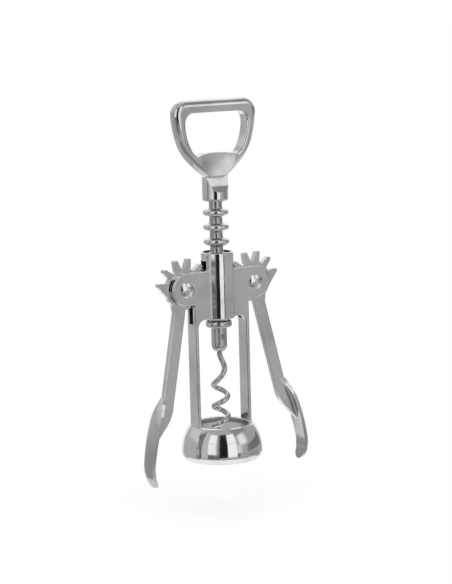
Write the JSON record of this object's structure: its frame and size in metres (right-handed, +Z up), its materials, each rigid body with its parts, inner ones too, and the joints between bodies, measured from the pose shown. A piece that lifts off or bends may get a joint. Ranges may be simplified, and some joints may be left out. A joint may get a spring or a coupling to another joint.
{
  "type": "wing corkscrew",
  "caption": "Winged corkscrew with a ringed rack, two toothed levers, a bottle bell and a cap opener in its handle.",
  "frame": {"origin": "centre of the bell's lower rim, where the bell's bottle seat opens", "axes": "+Z up along the worm, +X from the left lever to the right lever, +Y to the back"},
  "size_m": [0.0925, 0.04, 0.1853],
  "materials": {
    "casting_chrome": "polished",
    "bell_chrome": "polished",
    "rivet_left_chrome": "polished",
    "rivet_right_chrome": "polished",
    "lever_left_chrome": "polished",
    "lever_right_chrome": "polished",
    "rack_chrome": "polished",
    "handle_chrome": "polished",
    "ferrule_chrome": "polished",
    "worm_chrome": "polished"
  },
  "bodies": {
    "frame": {"frame_casting": "casting_chrome", "bottle_bell": "bell_chrome", "pivot_rivet_left": "rivet_left_chrome", "pivot_rivet_right": "rivet_right_chrome"},
    "rack": {"rack_sleeve": "rack_chrome"},
    "screw": {"opener_handle": "handle_chrome", "worm_ferrule": "ferrule_chrome", "worm": "worm_chrome"},
    "lever_left": {"lever_left": "lever_left_chrome"},
    "lever_right": {"lever_right": "lever_right_chrome"}
  },
  "joints": [
    {"name": "rack_slide", "type": "slide", "parent": "frame", "child": "rack", "axis": [0, 0, -1], "range_m": [0, 0.036]},
    {"name": "handle_turn", "type": "hinge", "parent": "rack", "child": "screw", "pos_m": [0, 0, 0.1264], "axis": [0, 0, -1], "continuous": true},
    {"name": "lever_left_pivot", "type": "hinge", "parent": "frame", "child": "lever_left", "pos_m": [-0.01963, 0, 0.0854], "axis": [0, 1, 0], "range_deg": [0, 152.3]},
    {"name": "lever_right_pivot", "type": "hinge", "parent": "frame", "child": "lever_right", "pos_m": [0.01963, 0, 0.0854], "axis": [0, -1, 0], "range_deg": [0, 152.3]}
  ],
  "couplings": [
    {"joint": "lever_left_pivot", "follows": "rack_slide", "rad_per_m": 73.746},
    {"joint": "lever_right_pivot", "follows": "rack_slide", "rad_per_m": 73.746}
  ]
}
